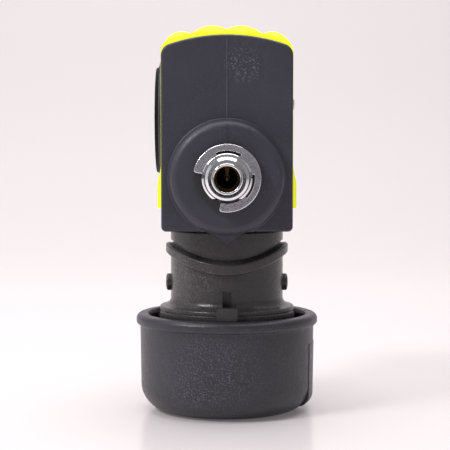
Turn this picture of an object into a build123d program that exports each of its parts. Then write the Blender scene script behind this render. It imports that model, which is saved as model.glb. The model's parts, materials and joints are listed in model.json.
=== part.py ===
from build123d import *
import math
import os

# Diver's in-line air horn: a housing on a swivelling low-pressure air tube, a push-button valve,
# a diaphragm horn that points down, and a pull-off cap that covers the horn.
# Units are millimetres. +Z is up, the hose nipple points to -Y, the push button is on -X.
# The origin is the centre of the cap's flat base, on which the horn stands.

os.makedirs("parts", exist_ok=True)

# ---- driving dimensions ----

# housing block
HOUSING_HALF_WIDTH = 20.0
HOUSING_HALF_DEPTH = 24.0
HOUSING_BOTTOM = 58.4
HOUSING_TOP = 118.0
CROWN_RADIUS = 55.0
CORNER_RADIUS = 3.6
RIM_ROUND = 0.7
SADDLE_SEAT_DEPTH = 0.8
SEAM_WIDTH = 0.3
SEAM_HEIGHT = 0.12

# grip saddle
SADDLE_HALF_DEPTH = 21.3
SADDLE_OUTER_X = 20.15
SADDLE_FOOT_X = 21.2
SADDLE_FOOT_Z = 65.5
SADDLE_CROWN = 119.6
DOME_RADIUS = 66.0
RIDGES = ((14.2, 120.6, 6.0), (4.45, 122.5, 10.0))

# air tube and its bosses
TUBE_Z = 74.8
TUBE_RADIUS = 7.5
TUBE_BORE = 3.75
BOSS_BASE_RADIUS = 17.6
BOSS_TOP_RADIUS = 17.0
BOSS_EDGE_ROUND = 2.6
BOSS_FOOT_ROUND = 0.5
BOSS_HEIGHT = 4.5
BOSS_FACE = HOUSING_HALF_DEPTH + BOSS_HEIGHT
RUNNING_GAP = 0.05
GALLERY_RADIUS = 9.0
GALLERY_HALF_LENGTH = 4.0
TUBE_ORING_Y = 8.0
TUBE_GROOVE_RADIUS = 6.05

# hose nipple, from its tip towards the housing
NIPPLE_TIP = -46.0
NOSE_RADIUS = 4.55
NOSE_END = -42.6
NOSE_UNDERCUT_RADIUS = 4.25
LOCK_RIDGE_RADIUS = 6.4
LOCK_RIDGE_START = -42.0
LOCK_RIDGE_END = -39.8
RIDGE_GROOVE_END = -40.9
LOCK_NECK_RADIUS = 5.0
COLLAR_START = -36.0
COLLAR_FLAT = 5.95
NOTCH_RADIUS = 6.7
NOTCH_WIDTH = 1.9
FLATS_END = -33.2
CLIP_Y = -31.0
CLIP_THICKNESS = 1.2
CLIP_GROOVE_RADIUS = 5.0
CLIP_OUTER_RADIUS = 10.2
CLIP_WINDOW_RADIUS = 8.2
CLIP_WINDOWS = ((59, 114), (-45, 8))
CLIP_MOUTH = (170, 256)

# push button and valve, on an axis along X
VALVE_Z = 92.7
BUTTON_RADIUS = 17.5
BUTTON_CROWN_X = -22.8
BUTTON_RIM_X = -22.3
BUTTON_POCKET_RADIUS = 19.05
BUTTON_POCKET_FLOOR = -14.7
BUTTON_TRAVEL = 2.6
CARTRIDGE_RADIUS = 7.45
CARTRIDGE_HEAD_X = -16.6
VALVE_BORE_END = 13.0
STEM_RADIUS = 2.0
LOW_PORT_X = -11.4
HIGH_PORT_X = 7.5

# horn neck
NECK_RADIUS = 18.0
NECK_INNER = 15.5
NECK_TOP = 57.6
NECK_BLOCK_BOTTOM = 50.0
FLANGE_RADIUS = 21.5
FLANGE_TOP = 33.4
RING_RADIUS = 22.9
RING_TOP = 32.2
SKIRT_RADIUS = 24.4
SKIRT_TOP = 29.4
SKIRT_BOTTOM = 13.0
BAND_ARC_RADIUS = 33.5
BAND_CROWN = 52.0
BAND_HEIGHT = 3.2
BAND_RADIUS = 19.6
SLOT_FLOOR = 16.4
VOID_HALF_ANGLE = 22.0
VOID_FLOOR = 25.2
BELL_SCREW_Z = 40.8
CAP_ORING_Z = 23.0
CAP_ORING_SECTION = 0.92

# diaphragm and horn bell
DIAPHRAGM_Z = 52.0
DIAPHRAGM_RADIUS = 8.7
THROAT_RADIUS = 3.5
BELL_FLANGE_TOP = 45.0
BELL_FLANGE_BOTTOM = 38.8
BELL_MOUTH_Z = 9.0
BELL_MOUTH_RADIUS = 22.0
BELL_WALL = 1.7

# horn cap
CAP_TOP_RADIUS = 27.9
CAP_BEAD_RADIUS = 29.1
CAP_LOW_RADIUS = 27.5
CAP_INNER = 25.0
CAP_HEIGHT = 31.0
CAP_FLOOR = 2.5
CAP_DISC_RADIUS = 18.6
PAD_HALF_ANGLE = 21.0
RIM_NOTCH_ANGLES = (8, 180, 203)

# coupler at the back of the tube
COUPLER_START = 29.6
COUPLER_FACE = 47.7
COUPLER_RADIUS = 7.95
MOUTH_RADIUS = 6.5
NOSE_BORE = 4.65
NOSE_BORE_START = 37.5
NOSE_BORE_END = 41.3
CORE_BORE = 4.4
BALL_RADIUS = 1.2
BALL_Y = 45.2
BALL_LOCKED = 6.6
BALL_COUNT = 4
BALL_TRAVEL = 1.15
SLEEVE_TRAVEL = 3.0
SLEEVE_RADIUS = 12.0
SLEEVE_BORE = 8.02
SLEEVE_START = 33.2
SLEEVE_END = 50.2


# ---- helpers ----

def turned(points):
    """Solid turned about Z from (radius, height) points; a third value rounds that corner."""
    corners = [(p[0], p[1]) for p in points]
    face = make_face(Polyline(*corners, close=True))
    for point in points:
        if len(point) == 3:
            corner = face.vertices().sort_by_distance((point[0], point[1], 0))[0]
            face = fillet(corner, point[2])
    return revolve(Plane.XZ * face, Axis.Z)


def ring(inner, outer, low, high, edge=0.0):
    """Flat ring about Z, with both outer edges rounded if edge is given."""
    if edge:
        return turned([(inner, low), (outer, low, edge), (outer, high, edge), (inner, high)])
    return turned([(inner, low), (outer, low), (outer, high), (inner, high)])


def rod(radius, low, high):
    """Solid cylinder about Z between two heights."""
    return Pos(0, 0, (low + high) / 2) * Cylinder(radius, high - low)


def outwards(angle):
    """Turn local Z to point away from the Z axis at an angle from +X."""
    return Rot(0, 0, angle) * Rot(0, 90, 0)


def o_ring(centre_radius, section_radius, height):
    """O-ring about Z."""
    return Pos(0, 0, height) * Torus(centre_radius, section_radius)


def coil_spring(mean_radius, wire_radius, low, high, turns):
    """Helical compression spring about Z, with its wire inside low and high."""
    rise = high - low - 2 * wire_radius
    path = Helix(pitch=rise / turns, height=rise, radius=mean_radius)
    section = Plane(origin=path @ 0, z_dir=path % 0) * Circle(wire_radius)
    return Pos(0, 0, low + wire_radius) * sweep(section, path=path, is_frenet=True)


def on_tube(part):
    """Turn a part from Z onto the tube axis: local Z becomes +Y."""
    return Pos(0, 0, TUBE_Z) * Rot(-90, 0, 0) * part


def on_valve(part):
    """Turn a part from Z onto the valve axis: local Z becomes +X."""
    return Pos(0, 0, VALVE_Z) * Rot(0, 90, 0) * part


def arc_outline(half_width, bottom, top, top_round, bottom_round):
    """Upright outline in XZ with a crowned top and rounded corners."""
    shoulder = top - (CROWN_RADIUS - math.sqrt(CROWN_RADIUS ** 2 - half_width ** 2))
    left, right = (-half_width, shoulder), (half_width, shoulder)
    sides = Polyline(left, (-half_width, bottom), (half_width, bottom), right)
    face = make_face(sides + ThreePointArc(right, (0, top), left))
    for x in (-half_width, half_width):
        for z, radius in ((shoulder, top_round), (bottom, bottom_round)):
            if radius:
                corner = face.vertices().sort_by_distance((x, z, 0))[0]
                face = fillet(corner, radius)
    return Plane.XZ * face


# ---- housing ----

def boss_profile(extra=0.0):
    """Conical boss about Z, from inside the housing out to its face."""
    return turned([
        (0, 20.0),
        (BOSS_BASE_RADIUS + extra + 0.2, 20.0, 1.5),
        (BOSS_BASE_RADIUS + extra, HOUSING_HALF_DEPTH + 0.6),
        (BOSS_TOP_RADIUS + extra, BOSS_FACE + extra, BOSS_EDGE_ROUND),
        (0, BOSS_FACE + extra),
    ])


def boss_skirt():
    """Concave fillet between the boss and the housing's flat face."""
    size = BOSS_FOOT_ROUND
    inner = BOSS_BASE_RADIUS - 0.6
    corner = BOSS_BASE_RADIUS + size
    edge = (Polyline((corner, HOUSING_HALF_DEPTH - 0.5), (inner, HOUSING_HALF_DEPTH - 0.5),
                     (inner, HOUSING_HALF_DEPTH + size), (BOSS_BASE_RADIUS, HOUSING_HALF_DEPTH + size))
            + RadiusArc((BOSS_BASE_RADIUS, HOUSING_HALF_DEPTH + size), (corner, HOUSING_HALF_DEPTH), size)
            + Line((corner, HOUSING_HALF_DEPTH), (corner, HOUSING_HALF_DEPTH - 0.5)))
    return revolve(Plane.XZ * make_face(edge), Axis.Z)


def front_boss():
    """Front boss with its fillet, its mould seam and the vee rib under it."""
    boss = on_tube(Rot(180, 0, 0) * boss_profile())
    clip = Pos(0, 0, HOUSING_BOTTOM + 40) * Box(2 * HOUSING_HALF_WIDTH, 80, 80)
    skirt = on_tube(Rot(180, 0, 0) * boss_skirt()) & clip
    seam = on_tube(Rot(180, 0, 0) * boss_profile(SEAM_HEIGHT))
    seam = seam & Pos(0, -30, TUBE_Z + 20) * Box(SEAM_WIDTH, 40, 18)
    return boss + skirt + seam


def vee_rib():
    """Vee-shaped rib that runs from under the front boss onto the neck."""
    top = HOUSING_BOTTOM + 2.0
    outline = make_face(Polyline((-7.4, top), (7.4, top), (0, 53.9), close=True))
    rib = Pos(0, -15, 0) * extrude(Plane.XZ * outline, amount=15)
    side = make_face(Polyline((-14, top), (-23.3, top), (-18.5, 53.6), (-14, 53.6), close=True))
    return (rib & extrude(Plane.YZ * side, amount=10, both=True)) - rod(NECK_RADIUS + 0.05, 50, 70)


def housing_block():
    """Crowned block with rounded front and back edges and a mould seam round its middle."""
    outline = arc_outline(HOUSING_HALF_WIDTH, HOUSING_BOTTOM, HOUSING_TOP, CORNER_RADIUS, 1.5)
    block = extrude(outline, amount=HOUSING_HALF_DEPTH, both=True)
    rims = block.faces().sort_by(Axis.Y)
    block = fillet(rims[0].edges() + rims[-1].edges(), RIM_ROUND)
    height = HOUSING_TOP - HOUSING_BOTTOM
    seam = Pos(0, 0, HOUSING_BOTTOM + height / 2 + SEAM_HEIGHT / 2) * Box(
        SEAM_WIDTH, 2 * (HOUSING_HALF_DEPTH + SEAM_HEIGHT), height + SEAM_HEIGHT - 2.5)
    return block + seam


def saddle_seat():
    """Room cut around the block for the grip saddle, between the two end frames."""
    half = SADDLE_HALF_DEPTH + 0.1
    inner = arc_outline(HOUSING_HALF_WIDTH - SADDLE_SEAT_DEPTH, SADDLE_FOOT_Z - 0.2,
                        HOUSING_TOP - SADDLE_SEAT_DEPTH, CORNER_RADIUS, 0)
    outer = Pos(0, 0, SADDLE_FOOT_Z - 0.2 + 40) * Box(60, 2 * half, 80)
    return outer - extrude(inner, amount=half, both=True)


def valve_room():
    """Button pocket and valve bore, entered from the left."""
    pocket = rod(BUTTON_POCKET_RADIUS, -30, BUTTON_POCKET_FLOOR)
    bore = rod(CARTRIDGE_RADIUS + RUNNING_GAP, -30, VALVE_BORE_END)
    return on_valve(pocket + bore)


def tube_room():
    """Running bore for the air tube with the gallery round its cross holes."""
    bore = rod(TUBE_RADIUS + RUNNING_GAP, -40, 40)
    gallery = rod(GALLERY_RADIUS, -GALLERY_HALF_LENGTH, GALLERY_HALF_LENGTH)
    return on_tube(bore + gallery)


def air_ports():
    """Drilled ports: gallery up to the valve, and valve down to the neck."""
    high = Pos(HIGH_PORT_X, 0, 0) * rod(1.8, TUBE_Z, VALVE_Z - 4)
    low = Pos(LOW_PORT_X, 0, 0) * rod(1.5, HOUSING_BOTTOM - 1, VALVE_Z - 6)
    return high + low


def neck_screw_places():
    return [Rot(0, 0, 45 + 90 * k) * Pos(13.0, 0, 0) for k in range(4)]


def main_housing():
    body = housing_block() + front_boss()
    body += on_tube(boss_profile())
    body += vee_rib()
    body -= saddle_seat()
    body -= valve_room()
    body -= tube_room()
    body -= air_ports()
    for place in neck_screw_places():
        body -= place * rod(1.5, HOUSING_BOTTOM - 1, HOUSING_BOTTOM + 6.5)
    body -= saddle_screw_place() * rod(1.25, -7, 5)
    return body - core_pocket()


def core_pocket():
    """Cored-out pocket under the crown, closed by the saddle."""
    pocket = Pos(0, 0, 109.0) * Box(28, 34, 14)
    return fillet(pocket.edges().filter_by(Axis.Z), 3)


def saddle_screw_place():
    """Where the saddle's screw enters the right side; local Z points outwards."""
    return Pos(SADDLE_OUTER_X, 0, 97.7) * Rot(0, 90, 0)


# ---- grip saddle ----

def grip_ridges():
    """Four rounded ridges along Y that arch down towards the front and back."""
    room = Pos(0, 0, HOUSING_TOP) * Box(2 * SADDLE_OUTER_X - 0.1, 2 * SADDLE_HALF_DEPTH, 16)
    ridges = []
    for x, top, radius in RIDGES:
        for side in (-1, 1):
            arch = Rot(0, 90, 0) * Torus(DOME_RADIUS - radius, radius)
            ridges.append((Pos(side * x, 0, top - DOME_RADIUS) * arch) & room)
    return ridges


def saddle_foot(side):
    """Lower end of the saddle, which flares out from the housing."""
    wall = side * (HOUSING_HALF_WIDTH - SADDLE_SEAT_DEPTH)
    outer = side * SADDLE_OUTER_X
    lip = side * SADDLE_FOOT_X
    outline = (Polyline((outer, 79.0), (wall, 79.0), (wall, SADDLE_FOOT_Z), (lip, SADDLE_FOOT_Z),
                        (lip, 72.0)) + Spline((lip, 72.0), (outer, 79.0),
                                              tangents=((0, 1), (0, 1))))
    return extrude(Plane.XZ * make_face(outline), amount=SADDLE_HALF_DEPTH, both=True)


def grip_saddle():
    """Soft saddle over the top and down both sides, with grip ridges and flared feet."""
    shell = arc_outline(SADDLE_OUTER_X, SADDLE_FOOT_Z, SADDLE_CROWN, CORNER_RADIUS + 0.4, 0)
    part = extrude(shell, amount=SADDLE_HALF_DEPTH, both=True)
    for ridge in grip_ridges():
        part += ridge
    dome = Pos(0, 0, RIDGES[1][1] + 0.1 - DOME_RADIUS) * Rot(0, 90, 0) * Cylinder(DOME_RADIUS, 60)
    part &= dome
    part += saddle_foot(-1) + saddle_foot(1)
    seat = arc_outline(HOUSING_HALF_WIDTH - SADDLE_SEAT_DEPTH + RUNNING_GAP, SADDLE_FOOT_Z - 1,
                       HOUSING_TOP - SADDLE_SEAT_DEPTH + RUNNING_GAP, CORNER_RADIUS, 0)
    part -= extrude(seat, amount=SADDLE_HALF_DEPTH + 1, both=True)
    part -= on_valve(rod(BUTTON_POCKET_RADIUS + 0.25, -30, -10))
    part -= saddle_screw_place() * (rod(1.35, -7, 5) + rod(2.1, -0.65, 5))
    return part


def saddle_screw():
    """Pan-head screw that holds the saddle, with a hex socket."""
    head = turned([(0, -0.6), (2.0, -0.6), (2.0, 1.4, 0.7), (0, 1.4)])
    shank = rod(1.2, -5.6, -0.6)
    socket = extrude(RegularPolygon(0.9, 6), amount=2)
    return saddle_screw_place() * (head + shank - Pos(0, 0, 0.3) * socket)


# ---- push button and valve ----

def button_bezel():
    """Ring that keeps the button in its pocket."""
    return on_valve(ring(BUTTON_RADIUS + 0.25, BUTTON_POCKET_RADIUS - 0.05, -21.1, -18.6, 0.4))


def horn_button():
    """Domed button with a hub for the stem and a flange behind the bezel."""
    hub_end = CARTRIDGE_HEAD_X - BUTTON_TRAVEL - 0.15
    rim = BUTTON_RADIUS - 0.9
    outer = [(0, BUTTON_CROWN_X), (rim, BUTTON_RIM_X), (BUTTON_RADIUS, BUTTON_RIM_X + 0.9)]
    edge = (ThreePointArc((-rim, BUTTON_RIM_X), outer[0], outer[1])
            + RadiusArc(outer[1], outer[2], 1.0))
    lines = Polyline(outer[2], (BUTTON_RADIUS, -18.4), (18.3, -18.4), (18.3, -17.5), (15.8, -17.5),
                     (15.8, -20.2), (4.5, -20.2), (4.5, hub_end), (STEM_RADIUS, hub_end),
                     (STEM_RADIUS, -20.6), (-STEM_RADIUS, -20.6), (-rim, -20.6), (-rim, BUTTON_RIM_X))
    whole = make_face(edge + lines)
    half = whole & Pos(15, -20) * Rectangle(30, 20)
    return on_valve(revolve(Plane.XZ * half, Axis.Z))


def valve_stem():
    """Stem from the button's hub to the poppet."""
    return on_valve(rod(STEM_RADIUS - 0.02, -20.5, 3.4))


def poppet():
    """Poppet on the stem's end, on the supply side of the seat."""
    return on_valve(turned([
        (0, 3.5), (STEM_RADIUS, 3.5), (STEM_RADIUS, 2.7), (5.4, 2.7), (5.4, 4.6, 0.3),
        (2.6, 4.6), (2.6, 6.6, 0.4), (0, 6.6),
    ]))


def poppet_seal():
    """Rubber washer under the poppet."""
    return on_valve(ring(STEM_RADIUS, 5.2, 1.04, 2.68))


def poppet_spring():
    return on_valve(coil_spring(3.6, 0.35, 4.65, VALVE_BORE_END - 0.05, 5))


def button_spring():
    return on_valve(coil_spring(10.6, 0.45, -20.15, BUTTON_POCKET_FLOOR - 0.05, 3))


def valve_cartridge():
    """Brass cartridge: stem guide, outlet chamber with its cross holes, and the raised seat."""
    groove = CARTRIDGE_RADIUS - 1.25
    body = turned([
        (2.05, CARTRIDGE_HEAD_X), (8.6, CARTRIDGE_HEAD_X, 0.4), (8.6, -14.75), (CARTRIDGE_RADIUS, -14.75),
        (CARTRIDGE_RADIUS, -14.5), (groove, -14.5), (groove, -13.2), (CARTRIDGE_RADIUS, -13.2),
        (CARTRIDGE_RADIUS, -12.9), (6.2, -12.9), (6.2, -9.9), (CARTRIDGE_RADIUS, -9.9),
        (CARTRIDGE_RADIUS, -2.2), (groove, -2.2), (groove, -0.9), (CARTRIDGE_RADIUS, -0.9),
        (CARTRIDGE_RADIUS, 0.2), (4.6, 0.2), (4.0, 1.0), (3.2, 1.0), (3.2, -2.6), (4.5, -3.6),
        (4.5, -12.6), (2.05, -12.6),
    ])
    body -= rod(3.1, -15.7, -14.5)
    for k in range(4):
        body -= Pos(0, 0, LOW_PORT_X) * outwards(45 + 90 * k) * rod(1.1, 0, 8)
    return on_valve(body)


def cartridge_orings():
    rings = [o_ring(CARTRIDGE_RADIUS - 0.62, 0.6, x) for x in (-13.85, -1.55)]
    return Compound(children=[on_valve(r) for r in rings])


def stem_oring():
    return on_valve(o_ring(2.56, 0.5, -15.1))


# ---- horn neck ----

def neck_tube():
    """Neck, its flange and the skirt inside the cap, round the horn bell."""
    return turned([
        (0, NECK_TOP), (NECK_RADIUS, NECK_TOP, 0.4),
        (NECK_RADIUS, FLANGE_TOP + 0.8, 2.6), (FLANGE_RADIUS, FLANGE_TOP, 0.5),
        (FLANGE_RADIUS, FLANGE_TOP - 1.6), (FLANGE_RADIUS - 1.0, FLANGE_TOP - 1.6),
        (FLANGE_RADIUS - 1.0, SKIRT_TOP), (SKIRT_RADIUS, SKIRT_TOP, 0.5),
        (SKIRT_RADIUS, CAP_ORING_Z + 1.1), (SKIRT_RADIUS - 1.5, CAP_ORING_Z + 1.1),
        (SKIRT_RADIUS - 1.5, CAP_ORING_Z - 1.1), (SKIRT_RADIUS, CAP_ORING_Z - 1.1),
        (SKIRT_RADIUS, SKIRT_BOTTOM, 0.8), (SKIRT_RADIUS - 1.2, SKIRT_BOTTOM),
        (SKIRT_RADIUS - 2.6, CAP_ORING_Z - 2.5), (SKIRT_RADIUS - 2.6, SKIRT_TOP - 2.4),
        (NECK_INNER, FLANGE_TOP + 0.6), (NECK_INNER, NECK_BLOCK_BOTTOM),
        (0, NECK_BLOCK_BOTTOM),
    ])


def grip_void():
    """Deep cut in the skirt's shoulder at one side, for prising the cap off."""
    wedge = sector(-VOID_HALF_ANGLE, VOID_HALF_ANGLE, 30)
    band = ring(FLANGE_RADIUS + 0.1, 27, VOID_FLOOR, SKIRT_TOP + 3)
    return band & Pos(0, 0, VOID_FLOOR) * extrude(wedge, amount=8)


def horn_neck():
    neck = neck_tube()
    neck -= turned([(0, 49), (DIAPHRAGM_RADIUS + 0.1, 49), (DIAPHRAGM_RADIUS + 0.1, 52.7),
                    (6.8, 52.7), (6.8, 55.5, 1.0), (0, 55.5)])
    neck -= Pos(LOW_PORT_X, 0, 0) * rod(1.5, 49, 59)
    for place in neck_screw_places():
        neck -= place * rod(1.6, 49, 59)
    for side in (0, 180):
        neck -= Pos(0, 0, BELL_SCREW_Z) * outwards(side) * (rod(1.35, 14, 20) + rod(2.8, 17.65, 20))
    for side in (0, 180):
        neck -= Rot(0, 0, side) * grip_void()
    slot = Pos(0, -FLANGE_RADIUS, 36.7) * Box(2.8, 2 * (FLANGE_RADIUS - SLOT_FLOOR), 5.6)
    step = Pos(2.0, -FLANGE_RADIUS, 36.7) * Box(1.8, 2 * (FLANGE_RADIUS - SLOT_FLOOR - 1.3), 5.6)
    groove = band_solid(NECK_RADIUS + 1, BAND_HEIGHT + 1.55, 0.42) - rod(NECK_RADIUS - 0.8, 30, 60)
    return neck - slot - step - groove


def band_solid(outer, height, raise_by=0.0):
    """Ring whose height follows an arc seen from the side: high at +-X, low at +-Y."""
    centre = BAND_CROWN - BAND_ARC_RADIUS + raise_by
    shell = Rot(0, 90, 0) * (Cylinder(BAND_ARC_RADIUS + height / 2, 60)
                             - Cylinder(BAND_ARC_RADIUS - height / 2, 60))
    return (Pos(0, 0, centre) * shell) & rod(outer, centre, 60)


def neck_band():
    """Curved band that lies round the neck."""
    band = band_solid(BAND_RADIUS, BAND_HEIGHT) - rod(NECK_RADIUS - 0.75, 0, 80)
    rim = [e for e in band.edges()
           if all(math.hypot(v.X, v.Y) > BAND_RADIUS - 0.05 for v in e.vertices())]
    return fillet(rim, 0.7)


def neck_gasket():
    gasket = ring(0, NECK_RADIUS - 1.0, NECK_TOP, HOUSING_BOTTOM)
    gasket -= Pos(LOW_PORT_X, 0, 0) * rod(1.5, 57, 59)
    for place in neck_screw_places():
        gasket -= place * rod(1.6, 57, 59)
    return gasket


def neck_screws():
    head = turned([(0, 47.9), (2.5, 47.9, 0.5), (2.5, 49.95), (0, 49.95)])
    screw = head + rod(1.45, 49.95, 64.5) - Pos(0, 0, 47.5) * extrude(RegularPolygon(1.2, 6), amount=1.5)
    return Compound(children=[place * screw for place in neck_screw_places()])


def flange_ring():
    """Two thin collar halves that stand on the skirt's shoulder, just outside the flange."""
    whole = ring(22.2, RING_RADIUS, SKIRT_TOP + 0.05, RING_TOP, 0.2)
    for side in (0, 180):
        gap = extrude(sector(-VOID_HALF_ANGLE, VOID_HALF_ANGLE, 30), amount=10)
        whole -= Rot(0, 0, side) * Pos(0, 0, SKIRT_TOP - 2) * gap
    return whole


def stop_tab():
    """Block on the front of the flange that the cap's rim meets."""
    block = Pos(0, -23.05, 32.95) * Box(6.4, 3.7, 4.0)
    uprights = block.edges().filter_by(Axis.Y)
    block = fillet(uprights.sort_by(Axis.Z)[:2], 0.9)
    block = chamfer(block.edges().filter_by(Axis.X).group_by(Axis.Z)[-1].sort_by(Axis.Y)[:1], 0.8)
    return block - rod(FLANGE_RADIUS + 0.03, 30, 36) - rod(RING_RADIUS + 0.1, 30, RING_TOP + 0.1)


def stop_tabs():
    return Compound(children=[stop_tab(), Rot(0, 0, 180) * stop_tab()])


def bell_screws():
    """Two round-head screws through the neck into the bell's flange."""
    screw = turned([(0, 13.2), (1.3, 13.2), (1.3, 17.7), (2.7, 17.7), (2.7, 19.3, 0.6),
                    (1.2, 19.6), (0, 19.6)])
    screw -= Pos(0, 0, 18.8) * extrude(RegularPolygon(1.0, 6), amount=2)
    return Compound(children=[
        Pos(0, 0, BELL_SCREW_Z) * outwards(side) * screw for side in (0, 180)])


# ---- diaphragm and horn bell ----

def diaphragm():
    return ring(0, DIAPHRAGM_RADIUS, DIAPHRAGM_Z + 0.02, DIAPHRAGM_Z + 0.22)


def diaphragm_gasket():
    return ring(6.8, DIAPHRAGM_RADIUS, DIAPHRAGM_Z + 0.24, DIAPHRAGM_Z + 0.68)


def diaphragm_clamp():
    """Threaded ring that clamps the diaphragm, with two spanner holes."""
    clamp = ring(6.4, DIAPHRAGM_RADIUS + 0.05, NECK_BLOCK_BOTTOM - 0.6, DIAPHRAGM_Z)
    for side in (-1, 1):
        clamp -= Pos(0, side * 7.6, 0) * rod(0.6, 49, 50.6)
    return clamp


def bell_radius(z):
    """Inner radius of the horn at height z: an exponential flare from the throat to the mouth."""
    rate = math.log(BELL_MOUTH_RADIUS / THROAT_RADIUS) / (DIAPHRAGM_Z - BELL_MOUTH_Z)
    return THROAT_RADIUS * math.exp(rate * (DIAPHRAGM_Z - z))


def horn_bell():
    """Trumpet from the throat's lip down to the mouth, with the flange that seals in the neck."""
    count = 7
    heights = [DIAPHRAGM_Z + (BELL_MOUTH_Z - DIAPHRAGM_Z) * k / count for k in range(count + 1)]
    inner = [(bell_radius(z), z) for z in heights]
    outer = [(bell_radius(z) + BELL_WALL, z) for z in heights]
    lip = DIAPHRAGM_Z - 0.01
    inner[0], outer[0] = (THROAT_RADIUS, lip), (THROAT_RADIUS + BELL_WALL - 0.5, lip)
    edge = (Spline(*inner) + Line(inner[-1], outer[-1]) + Spline(*outer) + Line(outer[0], inner[0]))
    bell = revolve(Plane.XZ * make_face(edge), Axis.Z)
    flange_inner = bell_radius(BELL_FLANGE_TOP) + 0.6
    bell += turned([
        (flange_inner, BELL_FLANGE_BOTTOM), (NECK_INNER - 0.05, BELL_FLANGE_BOTTOM, 0.4),
        (NECK_INNER - 0.05, 42.9), (NECK_INNER - 1.5, 42.9), (NECK_INNER - 1.5, 44.5),
        (NECK_INNER - 0.05, 44.5), (NECK_INNER - 0.05, BELL_FLANGE_TOP),
        (flange_inner, BELL_FLANGE_TOP),
    ]) - rod(bell_radius(BELL_FLANGE_BOTTOM) + 0.5, 30, 40)
    for side in (0, 180):
        bell -= Pos(0, 0, BELL_SCREW_Z) * outwards(side) * rod(1.35, 12.6, 18)
    return bell


def bell_oring():
    return o_ring(NECK_INNER - 0.77, 0.72, 43.7)


# ---- horn cap ----

def thumb_pad():
    """Raised pad on the cap's right side; it runs straight down past the rounding of the foot."""
    pad = turned([
        (22.5, 1.9), (CAP_LOW_RADIUS + 0.15, 1.9, 3.6), (CAP_TOP_RADIUS + 0.1, 22.2, 0.3),
        (CAP_LOW_RADIUS - 1.5, 22.2), (CAP_LOW_RADIUS - 1.5, 7.0),
    ])
    reach = 40.0
    tip = reach * math.tan(math.radians(PAD_HALF_ANGLE))
    wedge = extrude(make_face(Polyline((0, 0), (reach, tip), (reach, -tip), close=True)), amount=40)
    return pad & wedge


def horn_cap():
    """Pull-off cup's wall, with a beaded rim, rounded foot and a raised thumb pad."""
    cup = turned([
        (CAP_DISC_RADIUS, 0), (CAP_LOW_RADIUS, 0, 8.5), (CAP_TOP_RADIUS, 27.4, 0.6),
        (CAP_BEAD_RADIUS, 27.9, 1.0), (CAP_BEAD_RADIUS, CAP_HEIGHT, 1.7),
        (CAP_INNER + 0.4, CAP_HEIGHT, 0.5), (CAP_INNER, CAP_HEIGHT - 1.2),
        (CAP_INNER, CAP_FLOOR, 6.0), (CAP_DISC_RADIUS, CAP_FLOOR),
    ])
    cup += thumb_pad()
    for angle in RIM_NOTCH_ANGLES:
        notch = Pos(CAP_BEAD_RADIUS - 2.6, 0, CAP_HEIGHT) * Box(3.4, 0.45, 0.7)
        cup -= Rot(0, 0, angle) * notch
    return cup


def cap_disc():
    """Disc welded into the cup's wall as its floor."""
    return rod(CAP_DISC_RADIUS - 0.02, 0, CAP_FLOOR)


def cap_oring():
    return o_ring(SKIRT_RADIUS - 0.56, CAP_ORING_SECTION, CAP_ORING_Z)


# ---- air tube and its fittings ----

def through_tube():
    """Swivelling air tube: nipple at -Y, threaded spigot at +Y, four cross holes in the middle."""
    tube = turned([
        (TUBE_BORE, NIPPLE_TIP, 0.35), (NOSE_RADIUS, NIPPLE_TIP, 0.35), (NOSE_RADIUS, NOSE_END),
        (NOSE_UNDERCUT_RADIUS, NOSE_END), (NOSE_UNDERCUT_RADIUS, RIDGE_GROOVE_END),
        (5.35, RIDGE_GROOVE_END), (5.35, LOCK_RIDGE_START), (5.6, LOCK_RIDGE_START),
        (LOCK_RIDGE_RADIUS, LOCK_RIDGE_START + 0.7, 0.4),
        (LOCK_RIDGE_RADIUS, LOCK_RIDGE_END, 0.3), (LOCK_NECK_RADIUS, LOCK_RIDGE_END + 0.4),
        (LOCK_NECK_RADIUS, COLLAR_START), (TUBE_RADIUS, COLLAR_START, 0.7),
        (TUBE_RADIUS, CLIP_Y - 0.65), (CLIP_GROOVE_RADIUS, CLIP_Y - 0.65),
        (CLIP_GROOVE_RADIUS, CLIP_Y + 0.65), (TUBE_RADIUS, CLIP_Y + 0.65),
        (TUBE_RADIUS, -TUBE_ORING_Y - 1.0), (TUBE_GROOVE_RADIUS, -TUBE_ORING_Y - 1.0),
        (TUBE_GROOVE_RADIUS, -TUBE_ORING_Y + 1.0), (TUBE_RADIUS, -TUBE_ORING_Y + 1.0),
        (TUBE_RADIUS, TUBE_ORING_Y - 1.0), (TUBE_GROOVE_RADIUS, TUBE_ORING_Y - 1.0),
        (TUBE_GROOVE_RADIUS, TUBE_ORING_Y + 1.0), (TUBE_RADIUS, TUBE_ORING_Y + 1.0),
        (TUBE_RADIUS, COUPLER_START - 0.05), (6.2, COUPLER_START - 0.05),
        (6.2, 33.6, 0.4), (TUBE_BORE, 33.6),
    ])
    for k in range(4):
        tube -= outwards(45 + 90 * k) * rod(1.5, 0, 10)
    length = FLATS_END - COLLAR_START + 0.02
    middle = (COLLAR_START + FLATS_END) / 2
    tube -= Pos(0, COLLAR_FLAT + 2, middle) * Box(20, 4, length)
    for side in (0, 180):
        notch = Pos(NOTCH_RADIUS + 2, 0, middle) * Box(4, NOTCH_WIDTH, length)
        tube -= Pos(0, -NOTCH_WIDTH / 2, 0) * Rot(0, 0, side) * notch
    return on_tube(tube)


def tube_orings():
    rings = [o_ring(TUBE_RADIUS - 0.72, 0.7, y) for y in (-TUBE_ORING_Y, TUBE_ORING_Y)]
    return Compound(children=[on_tube(r) for r in rings])


def sector(start, end, radius):
    """Pie slice in XY between two angles in degrees."""
    steps = 6
    angles = [math.radians(start + (end - start) * k / steps) for k in range(steps + 1)]
    rim = [(radius * math.cos(a), radius * math.sin(a)) for a in angles]
    return make_face(Polyline((0, 0), *rim, close=True))


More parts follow.
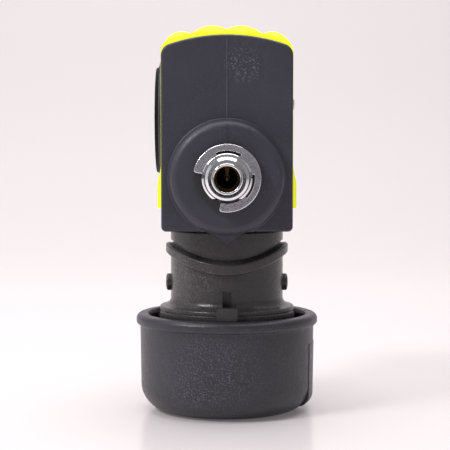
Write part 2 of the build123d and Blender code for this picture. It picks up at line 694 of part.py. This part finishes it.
def e_clip():
    """Retaining clip with three lugs in the tube's groove; its mouth points down and to the left."""
    blank = Circle(CLIP_OUTER_RADIUS) - Circle(CLIP_GROOVE_RADIUS + 0.04)
    blank -= sector(*CLIP_MOUTH, 14)
    for start, end in CLIP_WINDOWS:
        blank -= sector(start, end, 12) & Circle(CLIP_WINDOW_RADIUS)
    corners = blank.vertices().sort_by_distance((0, 0, 0))
    blank = fillet(corners[:-2], 0.3)
    blank = fillet(blank.vertices().sort_by_distance((0, 0, 0))[-2:], 0.9)
    clip = extrude(Plane.XZ * blank, amount=CLIP_THICKNESS / 2, both=True)
    front = clip.faces().sort_by(Axis.Y)[0]
    rim = [e for e in front.edges() if e.geom_type == GeomType.CIRCLE
           and abs(e.radius - CLIP_OUTER_RADIUS) < 0.01]
    return Pos(0, CLIP_Y, TUBE_Z) * fillet(rim, 0.25)


def front_washer():
    return on_tube(ring(TUBE_RADIUS + 0.05, 9.6, -30.35, -BOSS_FACE - 0.05))


def rear_washer():
    return on_tube(ring(TUBE_RADIUS + 0.05, 9.6, BOSS_FACE + 0.05, COUPLER_START - 0.05))


def nipple_depressor():
    """Brass ring deep in the nipple with one leaf down to the pin that opens the hose's valve."""
    part = ring(3.2, TUBE_BORE - 0.03, -30.5, -28.5)
    leaf = make_face(Polyline((-0.75, -3.5), (0.75, -3.5), (0.35, 0), (-0.35, 0), close=True))
    part += Pos(0, 0, -30.2) * extrude(leaf, amount=1.4)
    part += turned([(0, -44.6), (0.4, -44.6, 0.2), (0.5, -43.0), (0.75, -32.0), (0.75, -28.8),
                    (0, -28.8)])
    return on_tube(part)


def inlet_filter():
    """Sintered cone filter in the tube's bore."""
    return on_tube(turned([(0, -26.5), (1.2, -26.5, 0.6), (TUBE_BORE - 0.05, -19.5),
                           (TUBE_BORE - 0.05, -17.5), (TUBE_BORE - 1.1, -17.5), (0.6, -24.8),
                           (0, -24.8)]))


# ---- coupler at the back of the tube ----

def ball_angles():
    return [45 + 360 / BALL_COUNT * k for k in range(BALL_COUNT)]


def coupler_body():
    """Female quick-disconnect body: mouth, nose bore with its O-ring groove, core bore, flange."""
    groove = NOSE_BORE + 1.25
    body = turned([
        (6.25, COUPLER_START), (10.2, COUPLER_START, 0.25), (10.2, 30.3, 0.25), (8.6, 30.45),
        (8.6, 34.6), (9.9, 34.6), (9.9, 36.4), (COUPLER_RADIUS, 36.4),
        (COUPLER_RADIUS, COUPLER_FACE, 0.5), (MOUTH_RADIUS, COUPLER_FACE, 0.4),
        (MOUTH_RADIUS, NOSE_BORE_END + 0.5), (NOSE_BORE + 0.4, NOSE_BORE_END),
        (NOSE_BORE, NOSE_BORE_END), (NOSE_BORE, 40.2), (groove, 40.2), (groove, 38.6),
        (NOSE_BORE, 38.6), (NOSE_BORE, NOSE_BORE_START), (CORE_BORE, NOSE_BORE_START),
        (CORE_BORE, 33.8), (6.25, 33.8),
    ])
    for angle in ball_angles():
        body -= Pos(0, 0, BALL_Y) * outwards(angle) * rod(BALL_RADIUS + 0.06, 4, 12)
    return on_tube(body)


def coupler_oring():
    return on_tube(o_ring(NOSE_BORE + 0.62, 0.58, 39.4))


def coupler_sleeve():
    """Pull-back sleeve with grip flutes; its ramp frees the locking balls."""
    slope = BALL_TRAVEL / SLEEVE_TRAVEL
    ramp_start = BALL_Y - 0.1
    ramp_end = BALL_Y + 2.8
    ramp_top = SLEEVE_BORE + slope * (ramp_end - ramp_start) + 0.02
    sleeve = turned([
        (10.35, SLEEVE_START), (SLEEVE_RADIUS, SLEEVE_START, 0.8), (SLEEVE_RADIUS, 46.6),
        (SLEEVE_RADIUS - 0.9, 47.1), (SLEEVE_RADIUS - 0.9, 47.9), (SLEEVE_RADIUS - 0.2, 48.3),
        (SLEEVE_RADIUS - 0.2, SLEEVE_END, 0.7), (ramp_top, SLEEVE_END, 0.4), (ramp_top, ramp_end),
        (SLEEVE_BORE, ramp_start), (SLEEVE_BORE, 42.4), (10.35, 42.4), (10.35, 34.5),
        (10.85, 34.5), (10.85, 33.5), (10.35, 33.5),
    ])
    flutes = 20
    for k in range(flutes):
        flute = Pos(SLEEVE_RADIUS + 0.55, 0, 0) * rod(1.1, 36.0, 45.4)
        sleeve -= Rot(0, 0, 360 / flutes * k) * flute
    return on_tube(sleeve)


def sleeve_snap_ring():
    """Wire ring in the sleeve that stops it against the body's flange."""
    snap = ring(9.0, 10.8, 33.55, 34.45, 0.25)
    gap = Pos(9.5, 0, 34) * Box(5, 2.2, 3)
    return on_tube(snap - gap)


def sleeve_spring():
    return on_tube(coil_spring(9.1, 0.4, 36.45, 42.35, 3))


def locking_ball(angle):
    place = Pos(0, 0, BALL_Y) * outwards(angle) * Pos(0, 0, BALL_LOCKED)
    return on_tube(place * Sphere(BALL_RADIUS))


def valve_core():
    """Check-valve core screwed into the coupler, with its pin bore and air slots."""
    core = turned([(0.9, 33.9), (CORE_BORE - 0.05, 33.9), (CORE_BORE - 0.05, 35.6),
                   (3.4, 36.6, 0.3), (1.8, 36.6), (1.8, 34.9), (0.9, 34.9)])
    for k in range(3):
        core -= Rot(0, 0, 30 + 120 * k) * Pos(2.9, 0, 0) * rod(0.6, 33, 38)
    return on_tube(core)


def core_pin():
    """Check-valve pin with its head, stem and tail disc."""
    return on_tube(turned([
        (0, 30.6), (1.9, 30.6, 0.3), (1.9, 31.6), (0.8, 31.6), (0.8, 36.9), (1.6, 36.9),
        (1.6, 37.4, 0.2), (0, 37.4),
    ]))


def core_seal():
    """Rubber washer on the pin's tail that closes the core."""
    return on_tube(ring(0.82, 3.6, 31.62, 33.85, 0.5))


def core_spring():
    return on_tube(coil_spring(1.3, 0.2, 34.95, 36.85, 3))


NODES = {
    "main_housing": main_housing,
    "grip_saddle": grip_saddle,
    "saddle_screw": saddle_screw,
    "button_bezel": button_bezel,
    "horn_button": horn_button,
    "button_spring": button_spring,
    "valve_stem": valve_stem,
    "poppet": poppet,
    "poppet_seal": poppet_seal,
    "poppet_spring": poppet_spring,
    "valve_cartridge": valve_cartridge,
    "cartridge_orings": cartridge_orings,
    "stem_oring": stem_oring,
    "horn_neck": horn_neck,
    "neck_band": neck_band,
    "neck_gasket": neck_gasket,
    "neck_screws": neck_screws,
    "flange_ring": flange_ring,
    "stop_tabs": stop_tabs,
    "bell_screws": bell_screws,
    "diaphragm": diaphragm,
    "diaphragm_gasket": diaphragm_gasket,
    "diaphragm_clamp": diaphragm_clamp,
    "horn_bell": horn_bell,
    "bell_oring": bell_oring,
    "horn_cap": horn_cap,
    "cap_disc": cap_disc,
    "cap_oring": cap_oring,
    "through_tube": through_tube,
    "tube_orings": tube_orings,
    "e_clip": e_clip,
    "front_washer": front_washer,
    "rear_washer": rear_washer,
    "nipple_depressor": nipple_depressor,
    "inlet_filter": inlet_filter,
    "coupler_body": coupler_body,
    "coupler_oring": coupler_oring,
    "coupler_sleeve": coupler_sleeve,
    "sleeve_snap_ring": sleeve_snap_ring,
    "sleeve_spring": sleeve_spring,
    "valve_core": valve_core,
    "core_pin": core_pin,
    "core_seal": core_seal,
    "core_spring": core_spring,
}

for name, make in NODES.items():
    export_step(make(), f"parts/{name}.step")
for number, angle in enumerate(ball_angles(), start=1):
    export_step(locking_ball(angle), f"parts/locking_ball_{number}.step")
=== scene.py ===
import json
import math

import bpy
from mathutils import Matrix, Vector


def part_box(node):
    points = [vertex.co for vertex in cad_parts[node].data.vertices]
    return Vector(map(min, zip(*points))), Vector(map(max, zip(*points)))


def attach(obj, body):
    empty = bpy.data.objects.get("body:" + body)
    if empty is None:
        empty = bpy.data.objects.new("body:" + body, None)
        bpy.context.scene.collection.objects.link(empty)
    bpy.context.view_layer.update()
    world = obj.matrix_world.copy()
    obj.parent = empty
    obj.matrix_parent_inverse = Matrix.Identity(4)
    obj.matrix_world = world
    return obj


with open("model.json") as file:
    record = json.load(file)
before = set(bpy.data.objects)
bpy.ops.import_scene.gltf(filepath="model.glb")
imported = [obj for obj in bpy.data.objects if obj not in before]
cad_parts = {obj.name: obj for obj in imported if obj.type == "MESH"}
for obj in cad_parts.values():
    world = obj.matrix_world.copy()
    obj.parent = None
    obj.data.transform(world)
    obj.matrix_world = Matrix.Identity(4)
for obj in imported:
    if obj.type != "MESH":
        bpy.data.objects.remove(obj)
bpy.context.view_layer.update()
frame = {"nodes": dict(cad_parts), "record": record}
nodes = frame["nodes"]

MM = 0.001
FLECK_SIZE = 0.22 * MM


# ---- node helpers ----

def new_material(name):
    """A material with its Principled shader and object coordinates ready."""
    mat = bpy.data.materials.new(name)
    mat.use_nodes = True
    tree = mat.node_tree
    shader = tree.nodes["Principled BSDF"]
    place = tree.nodes.new("ShaderNodeTexCoord").outputs["Object"]
    return mat, tree, shader, place


def noise(tree, place, grain, detail=2.0, rough=0.5):
    """Noise whose lumps are about grain metres across."""
    node = tree.nodes.new("ShaderNodeTexNoise")
    node.inputs["Scale"].default_value = 0.6 / grain
    node.inputs["Detail"].default_value = detail
    node.inputs["Roughness"].default_value = rough
    tree.links.new(place, node.inputs["Vector"])
    return node.outputs["Fac"]


def stretched(tree, place, scale):
    """Coordinates squeezed by a scale along each axis, for streaks and turning marks."""
    node = tree.nodes.new("ShaderNodeMapping")
    node.inputs["Scale"].default_value = scale
    tree.links.new(place, node.inputs["Vector"])
    return node.outputs["Vector"]


def remap(tree, value, low, high, start=0.3, end=0.7):
    """Stretch a value from start..end onto low..high."""
    node = tree.nodes.new("ShaderNodeMapRange")
    node.inputs["From Min"].default_value = start
    node.inputs["From Max"].default_value = end
    node.inputs["To Min"].default_value = low
    node.inputs["To Max"].default_value = high
    tree.links.new(value, node.inputs["Value"])
    return node.outputs["Result"]


def blend_colours(tree, amount, first, second):
    """Mix of two colours by a value."""
    node = tree.nodes.new("ShaderNodeMix")
    node.data_type = "RGBA"
    node.inputs["A"].default_value = (*first, 1.0)
    node.inputs["B"].default_value = (*second, 1.0)
    tree.links.new(amount, node.inputs["Factor"])
    return node.outputs["Result"]


def tint(tree, amount, under, colour):
    """A colour laid over a linked one by a value."""
    node = tree.nodes.new("ShaderNodeMix")
    node.data_type = "RGBA"
    node.inputs["B"].default_value = (*colour, 1.0)
    tree.links.new(amount, node.inputs["Factor"])
    tree.links.new(under, node.inputs["A"])
    return node.outputs["Result"]


def bump(tree, shader, layers):
    """Stack of bumps: (height value, distance in metres, strength)."""
    normal = None
    for value, distance, strength in layers:
        node = tree.nodes.new("ShaderNodeBump")
        node.inputs["Distance"].default_value = distance
        node.inputs["Strength"].default_value = strength
        tree.links.new(value, node.inputs["Height"])
        if normal:
            tree.links.new(normal, node.inputs["Normal"])
        normal = node.outputs["Normal"]
    tree.links.new(normal, shader.inputs["Normal"])


def shade(colour, factor):
    return tuple(min(1.0, c * factor) for c in colour)


# ---- materials ----

def flecks(tree, place, size, amount):
    """Sparse bright specks of about size metres; a higher amount gives more of them."""
    return remap(tree, noise(tree, place, size, 0.0), 0, 1, 0.72 - amount, 0.78 - amount)


def near(tree, place, centre, radius):
    """1 at a point, falling to 0 at radius metres from it."""
    node = tree.nodes.new("ShaderNodeVectorMath")
    node.operation = "DISTANCE"
    node.inputs[1].default_value = centre
    tree.links.new(place, node.inputs[0])
    return remap(tree, node.outputs["Value"], 1, 0, 0.5 * radius, radius)


def times(tree, first, second):
    node = tree.nodes.new("ShaderNodeMath")
    node.operation = "MULTIPLY"
    tree.links.new(first, node.inputs[0])
    tree.links.new(second, node.inputs[1])
    return node.outputs["Value"]


def moulded_plastic(name, colour, rough, grain, height, specular=0.5, spread=0.12, glow=0.0,
                    sparkle_lift=0.0, speck_patch=None):
    """Moulded plastic: spark-eroded grain, flow mottling, bright specks painted in as sparkle
    highlights, and an optional patch of denser specks.

    The lift sets how much lighter the specks are; they are painted highlights standing in for
    the grain's sparkle. The patch is (centre, radius, amount, colour) of a spot full of them.
    """
    mat, tree, shader, place = new_material(name)
    mottle = noise(tree, place, 9 * MM, 3.0)
    fine = noise(tree, place, grain, 3.0, 0.75)
    coarse = noise(tree, place, 3.0 * grain, 2.0)
    tone = blend_colours(tree, remap(tree, mottle, 0, 1),
                         shade(colour, 1 - spread), shade(colour, 1 + spread))
    # specks lighter than the plastic, in noisy patches: painted highlights standing in for the
    # grain's sparkle
    if sparkle_lift:
        sparkle_specks = times(tree, flecks(tree, place, FLECK_SIZE, 0.10),
                        remap(tree, noise(tree, place, 14 * MM, 1.0), 0.1, 1, 0.42, 0.62))
        tone = tint(tree, sparkle_specks, tone, shade(colour, 1 + sparkle_lift))
    # a spot crowded with more light specks; on the cap and neck it is painted sheen
    if speck_patch:
        centre, radius, amount, patch_colour = speck_patch
        patch_specks = times(tree, flecks(tree, place, FLECK_SIZE, amount),
                     near(tree, place, centre, radius))
        tone = tint(tree, patch_specks, tone, patch_colour)
    tree.links.new(tone, shader.inputs["Base Color"])
    tree.links.new(remap(tree, fine, rough - 0.08, rough + 0.10), shader.inputs["Roughness"])
    shader.inputs["Specular IOR Level"].default_value = specular
    # a glow makes the plastic emit its own colour: painted light, used on the yellow grip
    shader.inputs["Emission Color"].default_value = (*colour, 1.0)
    shader.inputs["Emission Strength"].default_value = glow
    bump(tree, shader, [(coarse, 2.0 * height, 0.35), (fine, height, 0.8)])
    return mat


def plated_metal(name, colour, rough, streak=(1, 1, 1)):
    """Polished plating with faint turning marks and a little haze."""
    mat, tree, shader, place = new_material(name)
    marks = noise(tree, stretched(tree, place, streak), 0.4 * MM, 2.0)
    haze = noise(tree, place, 4 * MM, 2.0)
    tone = blend_colours(tree, remap(tree, haze, 0, 1), shade(colour, 0.94), colour)
    tree.links.new(tone, shader.inputs["Base Color"])
    shader.inputs["Metallic"].default_value = 1.0
    tree.links.new(remap(tree, marks, rough * 0.6, rough * 1.5), shader.inputs["Roughness"])
    bump(tree, shader, [(marks, 0.01 * MM, 0.4)])
    return mat


def rubber(name, colour, rough):
    """Soft black rubber with a faint bloom."""
    mat, tree, shader, place = new_material(name)
    bloom = noise(tree, place, 2 * MM, 3.0)
    tree.links.new(blend_colours(tree, remap(tree, bloom, 0, 1), colour, shade(colour, 1.8)),
                   shader.inputs["Base Color"])
    tree.links.new(remap(tree, bloom, rough, rough + 0.15), shader.inputs["Roughness"])
    bump(tree, shader, [(bloom, 0.02 * MM, 0.4)])
    return mat


PALE = (0.70, 0.65, 0.66)
BACKDROP_GLOW = (1.0, 0.93, 0.94)
HOUSING = (0.036, 0.035, 0.050)
CAP = (0.032, 0.030, 0.040)
NECK = (0.041, 0.037, 0.038)
YELLOW = (0.93, 0.98, 0.035)

HOUSING_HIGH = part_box("main_housing")[1]
# patches crowded with light specks: centre, radius, amount of specks, their colour. The cap and
# neck patches are painted sheen where the light falls; the face one is a patch of light specks
# near the top
FACE_SPECK_PATCH = ((5.0 * MM, -24.0 * MM, HOUSING_HIGH[2] - 9.0 * MM), 6.5 * MM, 0.08,
              (0.13, 0.13, 0.15))
CAP_PAINTED_SHEEN = ((-6.0 * MM, -28.0 * MM, 15.0 * MM), 17.0 * MM, 0.12, (0.095, 0.09, 0.113))
NECK_PAINTED_SHEEN = ((-13.0 * MM, -13.0 * MM, 44.0 * MM), 13.0 * MM, 0.14, (0.12, 0.105, 0.105))

MATERIALS = {
    "housing_plastic": moulded_plastic("housing_plastic", HOUSING, 0.46, 0.8 * MM, 0.07 * MM,
                                       sparkle_lift=0.5, speck_patch=FACE_SPECK_PATCH),
    "cap_plastic": moulded_plastic("cap_plastic", CAP, 0.38, 0.6 * MM, 0.12 * MM, sparkle_lift=0.8,
                                   speck_patch=CAP_PAINTED_SHEEN),
    "neck_plastic": moulded_plastic("neck_plastic", NECK, 0.28, 0.6 * MM, 0.09 * MM, spread=0.22,
                                    sparkle_lift=0.8, speck_patch=NECK_PAINTED_SHEEN),
    "button_plastic": moulded_plastic("button_plastic", (0.004, 0.004, 0.005), 0.5, 0.35 * MM,
                                      0.05 * MM, specular=0.12),
    # the flash ridge gets a lighter, glossier colour than the housing: a painted highlight on a
    # real ridge
    "seam_flash_highlight": moulded_plastic("seam_flash_highlight", (0.10, 0.10, 0.115), 0.25, 0.5 * MM, 0.01 * MM),
    "bell_plastic": moulded_plastic("bell_plastic", (0.015, 0.015, 0.017), 0.25, 0.5 * MM,
                                    0.01 * MM),
    # the yellow grip glows with emission: painted light, as it is no lamp
    "yellow_grip": moulded_plastic("yellow_grip", YELLOW, 0.6, 0.3 * MM, 0.03 * MM,
                                   specular=0.15, spread=0.03, glow=0.42),
    "washer_plastic": moulded_plastic("washer_plastic", (0.02, 0.02, 0.021), 0.4, 0.3 * MM,
                                      0.01 * MM),
    "seal_rubber": rubber("seal_rubber", (0.012, 0.012, 0.013), 0.45),
    "chrome": plated_metal("chrome", (0.86, 0.86, 0.88), 0.07, (1, 12, 1)),
    "clip_steel": plated_metal("clip_steel", (0.82, 0.80, 0.87), 0.17, (1, 1, 6)),
    "screw_steel": plated_metal("screw_steel", (0.55, 0.55, 0.57), 0.3, (1, 1, 4)),
    "spring_steel": plated_metal("spring_steel", (0.6, 0.6, 0.62), 0.25, (1, 1, 1)),
    # brass set far darker than real brass: painted shade, so the parts deep in the nipple's bore
    # read black
    "brass": plated_metal("brass", (0.09, 0.055, 0.024), 0.3, (1, 8, 1)),
}


def dress_cad_nodes():
    """Give every CAD node the material of its slot."""
    for part in frame["record"]["subparts"]:
        node = nodes[part["node"]]
        node.data.materials.clear()
        node.data.materials.append(MATERIALS[part["material_slot"]])


dress_cad_nodes()


# ---- mould seams ----

def seam_ridge(name, path, out, width, height):
    """Fine glossy ridge of flash along a path, coloured lighter than the housing as a painted
    highlight; out is the way it stands up.
    """
    out = Vector(out)
    verts, faces = [], []
    for k, point in enumerate(path):
        along = Vector(path[min(k + 1, len(path) - 1)]) - Vector(path[max(k - 1, 0)])
        side = along.cross(out).normalized() * width / 2
        waver = 0.75 + 0.25 * math.sin(2.1 * k)
        centre = Vector(point)
        verts += [centre - side, centre + out * height * waver, centre + side]
        if k:
            a = 3 * (k - 1)
            faces += [(a, a + 1, a + 4, a + 3), (a + 1, a + 2, a + 5, a + 4),
                      (a + 2, a, a + 3, a + 5)]
    end = len(verts) - 3
    faces += [(0, 2, 1), (end, end + 1, end + 2)]
    mesh = bpy.data.meshes.new(name)
    mesh.from_pydata(verts, [], faces)
    mesh.materials.append(MATERIALS["seam_flash_highlight"])
    ridge = bpy.data.objects.new(name, mesh)
    bpy.context.collection.objects.link(ridge)
    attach(ridge, "housing")


def face_seam():
    """Flash line down the middle of the housing's front face."""
    top, foot, y = HOUSING_HIGH[2] - 1.2 * MM, HOUSING_HIGH[2] - 25.0 * MM, -24.12 * MM
    steps = 24
    path = [(0, y, top + (foot - top) * k / steps) for k in range(steps + 1)]
    seam_ridge("face_seam", path, (0, -1, 0), 0.26 * MM, 0.09 * MM)


face_seam()


# ---- studio ----

def plain_material(name, colour, rough, specular, glow=0.0):
    """Studio surface with an even colour; glow lifts it like a lit backdrop."""
    mat = bpy.data.materials.new(name)
    mat.use_nodes = True
    shader = mat.node_tree.nodes["Principled BSDF"]
    shader.inputs["Base Color"].default_value = (*colour, 1.0)
    shader.inputs["Roughness"].default_value = rough
    shader.inputs["Specular IOR Level"].default_value = specular
    shader.inputs["Emission Color"].default_value = (*BACKDROP_GLOW, 1.0)
    shader.inputs["Emission Strength"].default_value = glow
    return mat


def stage_sheet(name, verts, faces, material):
    """Studio mesh that isn't part of the object."""
    mesh = bpy.data.meshes.new(name)
    mesh.from_pydata(verts, [], faces)
    mesh.polygons.foreach_set("use_smooth", [True] * len(faces))
    mesh.materials.append(material)
    sheet = bpy.data.objects.new(name, mesh)
    bpy.context.collection.objects.link(sheet)


def sweep_backdrop():
    """Pale floor that curves up into a back wall."""
    half, front, back, height, bend = 1.6, -1.2, 0.9, 1.8, 0.5
    steps = 16
    line = [(front, 0.0), (back - bend, 0.0)]
    for k in range(1, steps + 1):
        angle = math.pi / 2 * k / steps
        line.append((back - bend + bend * math.sin(angle), bend - bend * math.cos(angle)))
    line.append((back, height))
    verts = [(x, y, z) for y, z in line for x in (-half, half)]
    faces = [(2 * k, 2 * k + 1, 2 * k + 3, 2 * k + 2) for k in range(len(line) - 1)]
    stage_sheet("backdrop", verts, faces, plain_material("pale_floor", PALE, 0.22, 0.35, 0.09))


def dark_card():
    """Low black card behind the camera, which the polished faces reflect in their lower half."""
    half, low, high, y = 0.45, -0.02, 0.058, -0.95
    verts = [(-half, y, low), (half, y, low), (half, y, high), (-half, y, high)]
    black = plain_material("dark_card", (0.01, 0.01, 0.012), 0.9, 0.0)
    stage_sheet("dark_card", verts, [(0, 1, 2, 3)], black)


# softboxes: name, place, size, watts
LIGHTS = (
    ("key", (-0.60, -0.45, 0.70), (0.26, 0.26), 5.4),
    ("fill", (0.70, -0.45, 0.35), (0.5, 0.5), 0.15),
    ("top", (0.0, 0.05, 0.95), (0.9, 0.7), 7.4),
    ("left_edge", (-0.75, 0.10, 0.20), (0.5, 0.9), 0.8),
    ("right_edge", (0.75, 0.15, 0.20), (0.5, 0.9), 0.15),
)
LIGHT_TARGET = (0, 0, 0.07)
WALL_LIGHT = ("wall", (0.0, 0.35, 0.95), (1.0, 0.3), 1.6)
WALL_TARGET = (0.0, 0.9, 0.2)
WORLD_COLOUR = (0.95, 0.93, 0.96, 1)
WORLD_STRENGTH = 0.28

CAMERA_PLACE = (-0.0006, -0.420, 0.0832)
CAMERA_AIM = (-0.0006, 0.0, 0.0591)
CAMERA_LENS = 104.6


def area_light(name, place, size, power, target):
    """Softbox at a place, turned to a target."""
    data = bpy.data.lights.new(name, "AREA")
    data.shape = "RECTANGLE"
    data.size, data.size_y = size
    data.energy = power
    light = bpy.data.objects.new(name, data)
    bpy.context.collection.objects.link(light)
    light.location = place
    light.rotation_euler = (Vector(target) - Vector(place)).to_track_quat("-Z", "Y").to_euler()


def camera():
    """Camera a little above the tube's height, looking along +Y and slightly down."""
    data = bpy.data.cameras.new("camera")
    data.sensor_width = 36.0
    data.lens = CAMERA_LENS
    cam = bpy.data.objects.new("camera", data)
    bpy.context.collection.objects.link(cam)
    place, aim = Vector(CAMERA_PLACE), Vector(CAMERA_AIM)
    cam.location = place
    cam.rotation_euler = (aim - place).to_track_quat("-Z", "Y").to_euler()
    bpy.context.scene.camera = cam


def studio():
    sweep_backdrop()
    dark_card()
    for name, place, size, power in LIGHTS:
        area_light(name, place, size, power, LIGHT_TARGET)
    area_light(*WALL_LIGHT, WALL_TARGET)
    world = bpy.data.worlds.new("world")
    bpy.context.scene.world = world
    world.use_nodes = True
    back = world.node_tree.nodes["Background"]
    back.inputs["Color"].default_value = WORLD_COLOUR
    back.inputs["Strength"].default_value = WORLD_STRENGTH
    bpy.context.scene.view_settings.view_transform = "Standard"
    camera()


studio()
